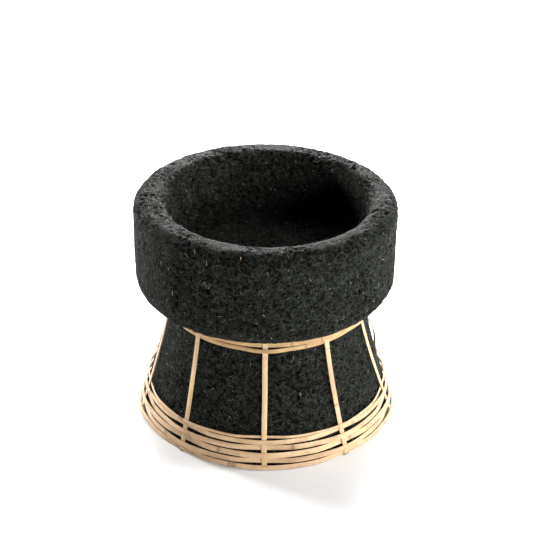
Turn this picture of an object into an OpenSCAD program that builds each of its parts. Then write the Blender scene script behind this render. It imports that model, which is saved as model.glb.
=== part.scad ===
// Round stone mortar on a flared pedestal, with a woven rattan cage round the pedestal.
// Millimetres. The origin is the centre of the foot, on the surface that the mortar stands on.
// +Z is up and the front is towards -Y.

/* [Bowl] */
// Outer diameter of the bowl
bowl_d = 180; // [150:1:200]
// Height from the foot to the top of the rim
total_h = 163.5; // [156:0.5:180]
// Height of the bowl's underside above the foot
bowl_z = 93; // [92:0.5:98]
// Thickness of the bowl's wall
wall_t = 21; // [16:0.5:26]
// Rounding of the rim's outer edge
rim_outer_round = 8.5; // [3:0.5:9]
// Rounding of the rim's inner edge
rim_inner_round = 7; // [3:0.5:7]
// Rounding of the bowl's lower edge
belly_round = 15; // [8:0.5:16]

/* [Basin] */
// Depth of the basin where its floor begins
basin_depth = 38; // [30:1:45]
// Rounding between the basin's wall and its floor
basin_round = 18; // [8:1:22]
// How much lower the middle of the floor lies
basin_dish = 2; // [0:0.5:4]

/* [Pedestal] */
// Radius of the pedestal at the foot, before its edge is rounded
foot_r = 90.5; // [84:0.5:96]
// Radius of the neck
neck_r = 68; // [60:0.5:70]
// Height at which the flare reaches the neck
neck_z = 86; // [82:1:87]
// Power of the flare: 1 is a cone, and more is more hollow
flare_power = 1.2; // [1:0.05:1.6]
// Rounding of the foot's edge
foot_round = 2; // [1:0.5:4]
// Rounding where the neck meets the bowl
neck_round = 5; // [3:0.5:5]

/* [Rattan cage] */
// Angles of the ribs' upper ends from the front, anticlockwise from above: an even number of
// them, so that each hoop closes on its own weave, and none closer than 22 degrees to the next
rib_top_angles = [-1, 34.5, 66.5, 106, 144, 180, 216, 249, 282, 318];
// Angles of the ribs' lower ends, in the same order
rib_foot_angles = [-0.5, 37.5, 78, 110, 145, 180, 215, 249, 283, 321];
// Width of a rib
rib_w = 3.6; // [2.5:0.1:4.5]
// Thickness of a rib
rib_t = 0.9; // [0.7:0.1:1.1]
// Height of the ribs' lower ends
rib_bottom = 0.4; // [0.3:0.1:2]
// Height of the ribs' upper ends, tucked in under the bowl
rib_top = 90; // [89:0.5:90]
// Thickness of a hoop
hoop_t = 0.9; // [0.7:0.1:1.1]
// Lower edges of the neck hoops, from the top
neck_hoop_z = [83.4, 80.3];
// Widths of the neck hoops, from the top
neck_hoop_w = [3.8, 2.9];
// Lower edges of the base hoops, from the top
base_hoop_z = [20.8, 17.4, 12.6, 8.2, 4.2, 0.4];
// Widths of the base hoops, from the top
base_hoop_w = [2.0, 3.3, 3.6, 3.9, 3.5, 3.3];
// How far the middle of the weave stands off the stone
weave_stand_off = 1.6; // [1.5:0.1:2.5]
// Clearance between a rib and the hoop that crosses it
weave_gap = 0.1; // [0.1:0.05:0.3]
// Stand-off of the neck hoops between the ribs, where they hug the stone
neck_hoop_stand_off = 0.7; // [0.7:0.1:1.5]
// Stand-off of the base hoops between the ribs, where they lie loose
base_hoop_stand_off = 2.1; // [1.2:0.1:2.4]

/* [Hidden] */
$fn = 96;
corner_steps = 8;
flare_step = 4;
rib_count = len(rib_top_angles);
front = -90;
// A hoop keeps level over this angle on each side of a rib, and then eases back over the next.
crossing_half_angle = 2.2;
ease_angle = 8;
bowl_r = bowl_d / 2;
basin_r = bowl_r - wall_t;
floor_z = total_h - basin_depth;
neck_rows = len(neck_hoop_z);
base_rows = len(base_hoop_z);
stone_colour = [0.13, 0.14, 0.13];
rib_colour = [0.86, 0.70, 0.50];
neck_hoop_colour = [0.80, 0.62, 0.42];
base_hoop_colour = [0.88, 0.74, 0.55];

// Points along an arc about [x, z], from one angle to another.
function arc(x, z, r, from, to) = [
    for (i = [0:corner_steps])
        let (a = from + (to - from) * i / corner_steps)
        [x + r * cos(a), z + r * sin(a)]
];

// Radius of the flared pedestal at height z, which stays at the neck's radius above the flare.
function flare_r(z) = neck_r + (foot_r - neck_r) * pow(max(0, neck_z - z) / neck_z, flare_power);

// The flare's outline from height low up to height high.
function flare(low, high) =
    let (steps = ceil((high - low) / flare_step))
    [for (i = [0:steps]) let (z = low + (high - low) * i / steps) [flare_r(z), z]];

// 1 while a hoop crosses a rib at angle 0, easing to 0 at both sides.
function crossing(angle) =
    let (t = (abs(angle) - crossing_half_angle) / ease_angle)
    t <= 0 ? 1 : t >= 1 ? 0 : (1 + cos(180 * t)) / 2;

// 1 where the hoop in this row passes outside the rib, and -1 where it passes behind it.
function side(row, rib) = (row + rib) % 2 == 1 ? 1 : -1;

// Angle of a rib at height z from the front, for ribs 0 to rib_count, where the last is the
// first again.
function rib_angle(rib, z) =
    let (i = rib % rib_count)
    let (lean = rib_top_angles[i] - rib_foot_angles[i])
    (rib == rib_count ? 360 : 0) + rib_foot_angles[i] + lean * z / rib_top;

// Angles from the middle of a crossing at which a hoop has a station.
crossing_steps = [
    0,
    crossing_half_angle,
    crossing_half_angle + ease_angle / 3,
    crossing_half_angle + ease_angle * 2 / 3,
    crossing_half_angle + ease_angle
];

// One station of a hoop, at an angle from a rib: its angle and its middle's stand-off.
function hoop_station(row, rib, z, turn, free) =
    let (level = weave_stand_off + side(row, rib) * (weave_gap + (rib_t + hoop_t) / 2))
    [rib_angle(rib, z) + turn, free + (level - free) * crossing(turn)];

// The stations of a hoop at height z from one rib to just before the next.
function bay_stations(row, rib, z, free) =
    let (last = len(crossing_steps) - 1)
    concat(
        [for (i = [0:last]) hoop_station(row, rib, z, crossing_steps[i], free)],
        [[(rib_angle(rib, z) + rib_angle(rib + 1, z)) / 2, free]],
        [for (i = [last:-1:1]) hoop_station(row, rib + 1, z, -crossing_steps[i], free)]
    );

// A hoop's four corners at one station: inner low, outer low, outer high, inner high.
function hoop_section(z, width, station) =
    let (a = front + station[0])
    [
        for (corner = [[-1, 0], [1, 0], [1, 1], [-1, 1]])
            let (h = z + width * corner[1])
            let (r = flare_r(h) + station[1] + corner[0] * hoop_t / 2)
            [r * cos(a), r * sin(a), h]
    ];

// A rib's four corners at height z, in the same turn about its length as a hoop's.
function rib_section(rib, z) =
    let (a = front + rib_angle(rib, z))
    [
        for (corner = [[-1, 1], [1, 1], [1, -1], [-1, -1]])
            let (r = flare_r(z) + weave_stand_off + corner[0] * rib_t / 2)
            let (w = corner[1] * rib_w / 2)
            [r * cos(a) - w * sin(a), r * sin(a) + w * cos(a), z]
    ];

// The long faces of a strip between two of its sections, numbered i and j.
function strip_faces(i, j) = [
    for (c = [0:3])
        let (d = (c + 1) % 4)
        [4 * i + c, 4 * i + d, 4 * j + d, 4 * j + c]
];

// One closed flat hoop, which weaves over and under the ribs round the flare.
module hoop(row, z, width, free) {
    middle = z + width / 2;
    stations = [for (rib = [0:rib_count - 1]) each bay_stations(row, rib, middle, free)];
    n = len(stations);
    polyhedron(
        points = [for (station = stations) each hoop_section(z, width, station)],
        faces = [for (i = [0:n - 1]) each strip_faces(i, (i + 1) % n)],
        convexity = 4
    );
}

// The mortar: pedestal, bowl and basin in one piece of stone.
module mortar() {
    foot_x = flare_r(foot_round) - foot_round;
    outline = concat(
        [[0, 0]],
        arc(foot_x, foot_round, foot_round, -90, 0),
        flare(foot_round + flare_step / 4, neck_z),
        arc(neck_r + neck_round, bowl_z - neck_round, neck_round, 180, 90),
        arc(bowl_r - belly_round, bowl_z + belly_round, belly_round, -90, 0),
        arc(bowl_r - rim_outer_round, total_h - rim_outer_round, rim_outer_round, 0, 90),
        arc(basin_r + rim_inner_round, total_h - rim_inner_round, rim_inner_round, 90, 180),
        arc(basin_r - basin_round, floor_z + basin_round, basin_round, 0, -90),
        [[0, floor_z - basin_dish]]
    );
    color(stone_colour)
        rotate_extrude()
            polygon(outline);
}

// One upright flat rib. Rib 1 is at the front, and the others follow it anticlockwise from above.
module rib(number) {
    heights = [for (p = flare(rib_bottom, rib_top)) p[1]];
    last = len(heights) - 1;
    color(rib_colour)
        polyhedron(
            points = [for (z = heights) each rib_section(number - 1, z)],
            faces = concat(
                [[3, 2, 1, 0]],
                [for (i = [0:last - 1]) each strip_faces(i, i + 1)],
                [[for (c = [0:3]) 4 * last + c]]
            ),
            convexity = 4
        );
}

// One of the two hoops that bind the ribs to the neck.
module neck_hoop(number) {
    i = number - 1;
    color(neck_hoop_colour)
        hoop(i, neck_hoop_z[i], neck_hoop_w[i], neck_hoop_stand_off);
}

// One of the hoops of the woven band round the foot.
module base_hoop(number) {
    i = number - 1;
    color(base_hoop_colour)
        hoop(neck_rows + i, base_hoop_z[i], base_hoop_w[i], base_hoop_stand_off);
}

mortar();
for (i = [1:rib_count])
    rib(i);
for (i = [1:neck_rows])
    neck_hoop(i);
for (i = [1:base_rows])
    base_hoop(i);
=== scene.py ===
"""Looks of a round stone mortar whose flared pedestal wears a woven rattan cage.

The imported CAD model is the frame. A dense skin with pores and lumps replaces the stone node, and a swept
strip with a crowned section, grain and cut ends replaces each rattan node. The classes of the parts hold
lengths in millimetres. The finishes, the lights, the camera and the meshes hold them in metres.
"""

import logging
import math
from dataclasses import dataclass, field
from enum import Enum, IntEnum
from typing import Sequence, Union

import bpy
import numpy as np
from bpy.types import ID, Material, Mesh, Node, NodeSocket, NodeTree, Object
from mathutils import Matrix, Vector


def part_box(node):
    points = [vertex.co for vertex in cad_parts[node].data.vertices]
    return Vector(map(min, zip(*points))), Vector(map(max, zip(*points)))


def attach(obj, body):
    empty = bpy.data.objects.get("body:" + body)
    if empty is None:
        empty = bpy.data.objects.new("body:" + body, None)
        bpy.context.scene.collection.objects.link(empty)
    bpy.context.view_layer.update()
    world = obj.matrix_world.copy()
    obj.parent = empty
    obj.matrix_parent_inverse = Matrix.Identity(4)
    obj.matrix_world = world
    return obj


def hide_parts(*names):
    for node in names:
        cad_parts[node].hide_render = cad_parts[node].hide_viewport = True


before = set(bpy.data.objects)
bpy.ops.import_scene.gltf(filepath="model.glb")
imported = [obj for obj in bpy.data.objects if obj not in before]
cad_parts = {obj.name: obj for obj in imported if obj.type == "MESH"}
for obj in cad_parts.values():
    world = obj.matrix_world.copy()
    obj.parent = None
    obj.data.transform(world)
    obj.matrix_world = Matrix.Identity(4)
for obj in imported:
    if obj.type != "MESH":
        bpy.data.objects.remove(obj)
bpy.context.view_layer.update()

MM = 0.001
BODY = "root"
GOLDEN_SHARE = 0.61803399
LOG = logging.getLogger("mortar")

Colour = tuple[float, float, float, float]
Value = Union[float, int, bool, str, Sequence[float], NodeSocket, ID]


class TreeKind(Enum):
    """The two kinds of node group that this script makes."""

    GEOMETRY = "GeometryNodeTree"
    SHADER = "ShaderNodeTree"


class Socket(Enum):
    """The types of a node group's sockets."""

    FLOAT = "NodeSocketFloat"
    VECTOR = "NodeSocketVector"
    INTEGER = "NodeSocketInt"
    GEOMETRY = "NodeSocketGeometry"
    MATERIAL = "NodeSocketMaterial"


class Seed(IntEnum):
    """Where each lot of random seeds starts, for what was laid or split by hand."""

    STONE = 3
    RIB_GROOVES = 10
    HOOP_GROOVES = 30
    WISP_GROOVES = 60
    WISPS = 77
    RIB_SWAY = 200
    RIB_KNOT = 300
    HOOP_LEVEL = 400
    HOOP_PLAY = 500
    HOOP_SHADE = 600


class Tree:
    """A node tree under construction, with one short call for each kind of node."""

    def __init__(self, tree: NodeTree) -> None:
        """Wraps a node tree, to which the other methods add."""
        self.tree = tree
        self.source: Node | None = None

    @classmethod
    def group(cls, name: str, kind: TreeKind, inputs: dict[str, Union[float, Socket]]) -> "Tree":
        """Starts a node group with named inputs.

        Args:
            name: the group's name.
            kind: geometry or shader.
            inputs: each input's name, with a number as its default, or with its type if it has none.

        Returns:
            The wrapped tree, with its inputs ready for given().
        """
        made = cls(bpy.data.node_groups.new(name, kind.value))
        for title, start in inputs.items():
            if isinstance(start, Socket):
                made.tree.interface.new_socket(title, in_out="INPUT", socket_type=start.value)
                continue
            number = Socket.INTEGER if isinstance(start, int) else Socket.FLOAT
            socket = made.tree.interface.new_socket(title, in_out="INPUT", socket_type=number.value)
            socket.default_value = start
        made.source = made.tree.nodes.new("NodeGroupInput")
        return made

    def given(self, name: str) -> NodeSocket:
        """Returns the group's own input of that name."""
        return self.source.outputs[name]

    def result(self, outputs: dict[str, NodeSocket], kind: Socket = Socket.FLOAT) -> None:
        """Ends the group with named outputs.

        Args:
            outputs: each output's name and the socket that feeds it.
            kind: the outputs' type.
        """
        for title in outputs:
            self.tree.interface.new_socket(title, in_out="OUTPUT", socket_type=kind.value)
        sink = self.tree.nodes.new("NodeGroupOutput")
        for title, feed in outputs.items():
            self.tree.links.new(feed, sink.inputs[title])

    def feed(self, node: Node, inputs: dict[Union[str, int], Value]) -> None:
        """Links or sets a node's inputs.

        Args:
            node: the node.
            inputs: input name or index to a socket, which is linked, or to a constant, which is set.
        """
        for key, value in inputs.items():
            if isinstance(value, NodeSocket):
                self.tree.links.new(value, node.inputs[key])
            else:
                node.inputs[key].default_value = value

    def add(self, kind: str, inputs: dict[Union[str, int], Value] | None = None, **settings: Value) -> Node:
        """Adds one node.

        Args:
            kind: the node's type name.
            inputs: input name or index to a constant or to a socket.
            **settings: the node's own properties.

        Returns:
            The new node.
        """
        node = self.tree.nodes.new(kind)
        for key, value in settings.items():
            setattr(node, key, value)
        self.feed(node, inputs or {})
        return node

    def math(self, operation: str, *values: Value, clamp: bool = False) -> NodeSocket:
        """Adds a Math node.

        Args:
            operation: the Math node's operation.
            *values: up to three numbers or sockets.
            clamp: whether the result is held between 0 and 1.

        Returns:
            The result's socket.
        """
        made = self.add("ShaderNodeMath", dict(enumerate(values)), operation=operation, use_clamp=clamp)
        return made.outputs[0]

    def plus(self, a: Value, b: Value) -> NodeSocket:
        """Returns a plus b."""
        return self.math("ADD", a, b)

    def minus(self, a: Value, b: Value) -> NodeSocket:
        """Returns a minus b."""
        return self.math("SUBTRACT", a, b)

    def times(self, a: Value, b: Value) -> NodeSocket:
        """Returns a times b."""
        return self.math("MULTIPLY", a, b)

    def over(self, a: Value, b: Value) -> NodeSocket:
        """Returns a divided by b."""
        return self.math("DIVIDE", a, b)

    def vector(self, operation: str, *values: Value) -> NodeSocket:
        """Adds a Vector Math node.

        Args:
            operation: the node's operation, other than SCALE.
            *values: up to two vectors or sockets.

        Returns:
            The result's socket.
        """
        made = self.add("ShaderNodeVectorMath", dict(enumerate(values)), operation=operation)
        return made.outputs["Vector"]

    def scaled(self, vector: Value, scale: Value) -> NodeSocket:
        """Returns a vector times a number."""
        inputs = {0: vector, "Scale": scale}
        return self.add("ShaderNodeVectorMath", inputs, operation="SCALE").outputs["Vector"]

    def join(self, *parts: Value) -> NodeSocket:
        """Returns a vector made of up to three numbers, with 0 for those left out."""
        return self.add("ShaderNodeCombineXYZ", dict(enumerate(parts))).outputs[0]

    def remap(self, value: Value, low: float, high: float, to_low: Value = 0.0, to_high: Value = 1.0,
              smooth: bool = False) -> NodeSocket:
        """Maps a range onto another, held at both ends.

        Args:
            value: what is mapped.
            low: the value that gives to_low.
            high: the value that gives to_high.
            to_low: the result at low.
            to_high: the result at high.
            smooth: whether the steps at the ends are eased.

        Returns:
            The result's socket.
        """
        made = self.add("ShaderNodeMapRange", {0: value, 1: low, 2: high, 3: to_low, 4: to_high},
                        interpolation_type="SMOOTHSTEP" if smooth else "LINEAR")
        return made.outputs[0]

    def noise(self, vector: Value, scale: Value, detail: float = 2.0, roughness: float = 0.5) -> Node:
        """Adds a 3-D Noise Texture and returns the node."""
        inputs = {"Vector": vector, "Scale": scale, "Detail": detail, "Roughness": roughness}
        return self.add("ShaderNodeTexNoise", inputs)

    def cells(self, vector: Value, scale: Value) -> Node:
        """Adds a Voronoi Texture that gives the distance to the nearest cell's point."""
        return self.add("ShaderNodeTexVoronoi", {"Vector": vector, "Scale": scale}, feature="F1")

    def mix_colour(self, factor: Value, a: Value, b: Value) -> NodeSocket:
        """Returns colour a where the factor is 0 and colour b where it is 1."""
        return self.add("ShaderNodeMix", {0: factor, 6: a, 7: b}, data_type="RGBA").outputs[2]

    def named(self, name: str, data_type: str = "FLOAT") -> NodeSocket:
        """Returns the value of a named attribute."""
        node = self.add("GeometryNodeInputNamedAttribute", {"Name": name}, data_type=data_type)
        return node.outputs["Attribute"]

    def store(self, geometry: NodeSocket, name: str, value: NodeSocket, data_type: str = "FLOAT",
              domain: str = "POINT") -> NodeSocket:
        """Stores a named attribute.

        Args:
            geometry: the geometry to store it on.
            name: the attribute's name.
            value: the attribute's value.
            data_type: its type.
            domain: what it belongs to, such as each point or each corner.

        Returns:
            The geometry.
        """
        made = self.add("GeometryNodeStoreNamedAttribute", {"Geometry": geometry, "Name": name},
                        data_type=data_type, domain=domain)
        self.feed(made, {"Value": value})
        return made.outputs[0]

    def dress(self, geometry: NodeSocket) -> None:
        """Ends a geometry group with Realize Instances, smooth shading and Set Material."""
        real = self.add("GeometryNodeRealizeInstances", {"Geometry": geometry}).outputs[0]
        smooth = self.add("GeometryNodeSetShadeSmooth", {"Geometry": real, "Shade Smooth": True}).outputs[0]
        inputs = {"Geometry": smooth, "Material": self.given("Material")}
        self.result({"Geometry": self.add("GeometryNodeSetMaterial", inputs).outputs[0]}, Socket.GEOMETRY)


def run_nodes(mesh: Mesh, tree: Tree, inputs: dict[str, Value], name: str) -> Object:
    """Runs a geometry node group on a mesh and turns the result into a plain mesh object.

    Args:
        mesh: what the group's Geometry input gets.
        tree: the group.
        inputs: the group's other inputs by name.
        name: the new object's name.

    Returns:
        The plain object, linked to the scene and standing at the origin.
    """
    carrier = bpy.data.objects.new(name + "_carrier", mesh)
    bpy.context.scene.collection.objects.link(carrier)
    modifier = carrier.modifiers.new("shape", "NODES")
    modifier.node_group = tree.tree
    sockets = {item.name: item.identifier for item in tree.tree.interface.items_tree
               if item.item_type == "SOCKET" and item.in_out == "INPUT"}
    for title, value in inputs.items():
        modifier[sockets[title]] = value
    graph = bpy.context.evaluated_depsgraph_get()
    made = bpy.data.meshes.new_from_object(carrier.evaluated_get(graph), depsgraph=graph)
    made.name = name
    carrier.modifiers.remove(modifier)
    bpy.data.objects.remove(carrier)
    piece = bpy.data.objects.new(name, made)
    bpy.context.scene.collection.objects.link(piece)
    return piece


def write_attributes(mesh: Mesh, attributes: dict[str, np.ndarray]) -> None:
    """Stores point attributes on a mesh.

    Args:
        mesh: the mesh.
        attributes: each attribute's name and its numbers, or its vectors as rows of three.
    """
    for title, values in attributes.items():
        if values.ndim == 2:
            mesh.attributes.new(title, "FLOAT_VECTOR", "POINT").data.foreach_set("vector", values.ravel())
        else:
            mesh.attributes.new(title, "FLOAT", "POINT").data.foreach_set("value", values)


def arc(x: float, z: float, radius: float, start: float, end: float) -> list[tuple[float, float]]:
    """Divides an arc in the half-plane of the outline into twelve steps.

    Args:
        x: radius of the arc's centre from the axis.
        z: height of the arc's centre.
        radius: the arc's own radius.
        start: first angle, in degrees.
        end: last angle, in degrees.

    Returns:
        The points as (radius from the axis, height).
    """
    steps = 12
    angles = (math.radians(start + (end - start) * i / steps) for i in range(steps + 1))
    return [(x + radius * math.cos(a), z + radius * math.sin(a)) for a in angles]


def ease(t: float) -> float:
    """Returns a smooth step from 0 to 1 as t goes from 0 to 1."""
    held = min(max(t, 0.0), 1.0)
    return held * held * (3 - 2 * held)


@dataclass(frozen=True)
class Flare:
    """The pedestal's hollow flare: its radius at each height, by the CAD part's rule."""

    foot_radius: float = 90.5
    neck_radius: float = 68.0
    neck_height: float = 86.0
    power: float = 1.2

    def radius(self, z: float) -> float:
        """Returns the stone's radius at height z."""
        share = max(0.0, self.neck_height - z) / self.neck_height
        return self.neck_radius + (self.foot_radius - self.neck_radius) * share ** self.power

    def slope(self, z: float) -> float:
        """Returns how much the radius grows for each millimetre down, at height z."""
        return self.radius(z - 0.5) - self.radius(z + 0.5)


class Wander:
    """A smooth, seeded, closed curve of small offsets round the axis, for what was laid by hand."""

    def __init__(self, seed: int, waves: int = 5) -> None:
        """Draws the waves.

        Args:
            seed: the random seed.
            waves: how many waves are summed.
        """
        draw = np.random.default_rng(seed)
        self.count = waves
        self.share = draw.uniform(0.4, 1.0, waves) / np.arange(1, waves + 1) ** 0.7
        self.phase = draw.uniform(0, 2 * math.pi, waves)
        self.share /= self.share.sum()

    def at(self, degrees: float) -> float:
        """Returns an offset between -1 and 1 at that angle."""
        waves = enumerate(zip(self.share, self.phase), start=1)
        return float(sum(share * math.sin(k * math.radians(degrees) + phase) for k, (share, phase) in waves))


class ShaderGroups:
    """The shader node groups that more than one material uses."""

    def __init__(self) -> None:
        """Builds every group once."""
        self.tone = self._tone()
        self.strands = self._strands()
        self.pores = self._pores()

    @staticmethod
    def _tone() -> Tree:
        """Slow blotches of tone, as a mask between 0 and 1."""
        group = Tree.group("tone_patches", TreeKind.SHADER, {
            "Vector": Socket.VECTOR,
            "Patch Size": 0.02,
            "Softness": 0.2,
        })
        place = group.scaled(group.given("Vector"), group.over(1.0, group.given("Patch Size")))
        cloud = group.noise(place, 1.0, detail=3.0, roughness=0.55).outputs[0]
        low = group.minus(0.5, group.given("Softness"))
        span = group.times(group.given("Softness"), 2.0)
        mask = group.math("DIVIDE", group.minus(cloud, low), span, clamp=True)
        group.result({"Mask": mask})
        return group

    @staticmethod
    def _strands() -> Tree:
        """Lengthwise strands of split cane, by metres along and across: two masks and a height."""
        group = Tree.group("cane_strands", TreeKind.SHADER, {
            "Vector": Socket.VECTOR,
            "Strand Width": 0.0004,
            "Strand Length": 0.03,
            "Offset": 0.0,
        })
        parts = group.add("ShaderNodeSeparateXYZ", {0: group.given("Vector")})
        along = group.over(parts.outputs[0], group.given("Strand Length"))
        across = group.over(parts.outputs[1], group.given("Strand Width"))
        place = group.join(along, across, group.given("Offset"))
        fine = group.noise(place, 1.0, detail=3.0, roughness=0.6).outputs[0]
        slow = group.vector("MULTIPLY", place, (0.25, 0.22, 1.0))
        coarse = group.noise(slow, 1.0, detail=2.0, roughness=0.5).outputs[0]
        height = group.plus(group.times(fine, 0.6), group.times(coarse, 0.4))
        group.result({
            "Fine": group.remap(fine, 0.3, 0.7),
            "Coarse": group.remap(coarse, 0.32, 0.68),
            "Height": height,
        })
        return group

    @staticmethod
    def _pores() -> Tree:
        """Small round and worm-like pores: a mask that is 1 in a pore, and a height."""
        group = Tree.group("stone_pores", TreeKind.SHADER, {
            "Vector": Socket.VECTOR,
            "Pore Spacing": 0.002,
            "Pore Share": 0.35,
            "Warp": 0.5,
        })
        place = group.scaled(group.given("Vector"), group.over(1.0, group.given("Pore Spacing")))
        push = group.vector("SUBTRACT", group.noise(place, 0.9, detail=1.0).outputs[1], (0.5, 0.5, 0.5))
        warped = group.vector("ADD", place, group.scaled(push, group.given("Warp")))
        cell = group.cells(warped, 1.0)
        chance = group.add("ShaderNodeSeparateColor", {0: cell.outputs["Color"]})
        open_here = group.math("LESS_THAN", chance.outputs[0], group.given("Pore Share"))
        wide = group.over(cell.outputs["Distance"], group.remap(chance.outputs[1], 0.0, 1.0, 0.7, 1.35))
        pore = group.times(group.remap(wide, 0.23, 0.33, 1.0, 0.0, smooth=True), open_here)
        rough = group.noise(place, 1.15, detail=3.0, roughness=0.6).outputs[0]
        away = group.math("ABSOLUTE", group.minus(rough, 0.52))
        ridge = group.remap(away, 0.015, 0.075, 1.0, 0.0, smooth=True)
        swell = group.plus(group.times(rough, 1.2), group.times(ridge, 0.35))
        height = group.minus(swell, group.times(pore, 1.4))
        group.result({
            "Pore": pore,
            "Rough": group.remap(rough, 0.34, 0.66),
            "Ridge": ridge,
            "Height": height,
        })
        return group


class Surface:
    """A Principled material under construction."""

    def __init__(self, name: str, roughness: float, specular: float = 0.5) -> None:
        """Starts the material.

        Args:
            name: the material's name.
            roughness: the plain roughness, used where nothing is linked.
            specular: the specular level, the same all over.
        """
        self.material = bpy.data.materials.new(name)
        self.material.use_nodes = True
        self.shader = self.material.node_tree.nodes["Principled BSDF"]
        self.shader.inputs["Roughness"].default_value = roughness
        self.shader.inputs["Specular IOR Level"].default_value = specular
        self.tree = Tree(self.material.node_tree)

    def place(self, group: Tree, inputs: dict[str, Value]) -> Node:
        """Places a shader group with its own values and returns its node."""
        return self.tree.add("ShaderNodeGroup", inputs, node_tree=group.tree)

    def object_coordinates(self) -> NodeSocket:
        """Returns the piece's Object coordinates."""
        return self.tree.add("ShaderNodeTexCoord").outputs["Object"]

    def attribute(self, name: str) -> NodeSocket:
        """Returns one of the piece's own attributes, as a number."""
        return self.tree.add("ShaderNodeAttribute", attribute_name=name).outputs["Fac"]

    def bump(self, height: NodeSocket, strength: float, distance: float,
             under: NodeSocket | None = None) -> NodeSocket:
        """Adds a Bump node.

        Args:
            height: the height's socket.
            strength: how strongly it shows.
            distance: the height of 1, in metres.
            under: the normal that it starts from.

        Returns:
            The bumped normal.
        """
        node = self.tree.add("ShaderNodeBump", {"Height": height, "Strength": strength, "Distance": distance})
        if under is not None:
            self.tree.feed(node, {"Normal": under})
        return node.outputs[0]

    def connect(self, socket: str, feed: NodeSocket) -> None:
        """Links a socket of the shader."""
        self.tree.tree.links.new(feed, self.shader.inputs[socket])


@dataclass(frozen=True)
class StoneFinish:
    """Charcoal black stone, matt, with pores and pits painted near black as painted shade, ridges, specks and
    crests painted lighter by a real dusting and by painted highlight, and trowelled patches.
    """

    ground: Colour = (0.0010, 0.0012, 0.0009, 1.0)
    # Partly a real grey dusting and partly painted highlight: the lighter colour of ridges, specks and raised
    # crests.
    dust_and_highlight: Colour = (0.063, 0.071, 0.058, 1.0)
    # Painted shade: the near-black colour of pores and pits.
    hollow: Colour = (0.0002, 0.0002, 0.0002, 1.0)
    pore_spacing: float = 4.2 * MM
    grit_spacing: float = 2.2 * MM
    patch_size: float = 26 * MM
    coarse_share: float = 0.36
    grit_share: float = 0.72
    specular: float = 0.02
    sheen: float = 0.018
    glint: Colour = (0.94, 1.0, 0.88, 1.0)
    coarse_bump: float = 2.4 * MM
    grit_bump: float = 1.4 * MM

    def material(self, groups: ShaderGroups) -> Material:
        """Builds the material.

        Args:
            groups: the shared shader groups.

        Returns:
            The material.
        """
        made = Surface("charcoal_stone", 0.7, self.specular)
        made.shader.inputs["Sheen Weight"].default_value = self.sheen
        made.shader.inputs["Sheen Roughness"].default_value = 0.5
        made.shader.inputs["Specular Tint"].default_value = self.glint
        tree = made.tree
        here = made.object_coordinates()
        cavity = made.attribute("cavity")
        crest = made.attribute("crest")
        patch = made.place(groups.tone, {
            "Vector": here, "Patch Size": self.patch_size, "Softness": 0.12}).outputs[0]
        cloud = made.place(groups.tone, {"Vector": here, "Patch Size": 7 * MM, "Softness": 0.22}).outputs[0]
        coarse = made.place(groups.pores, {
            "Vector": here, "Pore Spacing": self.pore_spacing, "Pore Share": self.coarse_share, "Warp": 0.8})
        grit = made.place(groups.pores, {
            "Vector": here, "Pore Spacing": self.grit_spacing, "Pore Share": self.grit_share, "Warp": 1.1})
        # Painted shade: open pores, fine pores and the skin's pits are painted near black.
        open_pores = tree.times(coarse.outputs["Pore"], tree.remap(patch, 0.0, 1.0, 0.3, 1.0))
        fine_pores = tree.times(grit.outputs["Pore"], tree.remap(patch, 0.0, 1.0, 1.0, 0.45))
        hollow = tree.math("MAXIMUM", tree.math("MAXIMUM", open_pores, cavity), fine_pores)
        # Partly a real dusting and partly painted highlight: ridge lines, specks and raised crests are
        # painted lighter.
        lines = tree.times(coarse.outputs["Ridge"], tree.remap(cloud, 0.0, 1.0, 0.25, 0.8))
        specks = tree.times(tree.times(grit.outputs["Ridge"], grit.outputs["Rough"]),
                            tree.remap(patch, 0.0, 1.0, 0.75, 0.35))
        crest_highlight = tree.times(tree.times(crest, coarse.outputs["Rough"]), 0.25)
        dust_and_highlight_mask = tree.math("ADD", tree.math("MAXIMUM", lines, specks), crest_highlight, clamp=True)
        body = tree.mix_colour(dust_and_highlight_mask, self.ground, self.dust_and_highlight)
        made.connect("Base Color", tree.mix_colour(hollow, body, self.hollow))
        made.connect("Roughness", tree.remap(hollow, 0.0, 1.0, 0.62, 0.95))
        first = made.bump(coarse.outputs["Height"], 1.0, self.coarse_bump)
        made.connect("Normal", made.bump(grit.outputs["Height"], 1.0, self.grit_bump, under=first))
        return made.material


@dataclass(frozen=True)
class FleckFinish:
    """Fibres, chips and splinters that stand out pale on the stone."""

    name: str
    dark: Colour
    light: Colour

    def material(self, groups: ShaderGroups) -> Material:
        """Builds the material.

        Args:
            groups: the shared shader groups.

        Returns:
            The material.
        """
        made = Surface(self.name, 0.7)
        here = made.object_coordinates()
        patch = made.place(groups.tone, {"Vector": here, "Patch Size": 4 * MM, "Softness": 0.2})
        made.connect("Base Color", made.tree.mix_colour(patch.outputs[0], self.dark, self.light))
        return made.material


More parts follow.
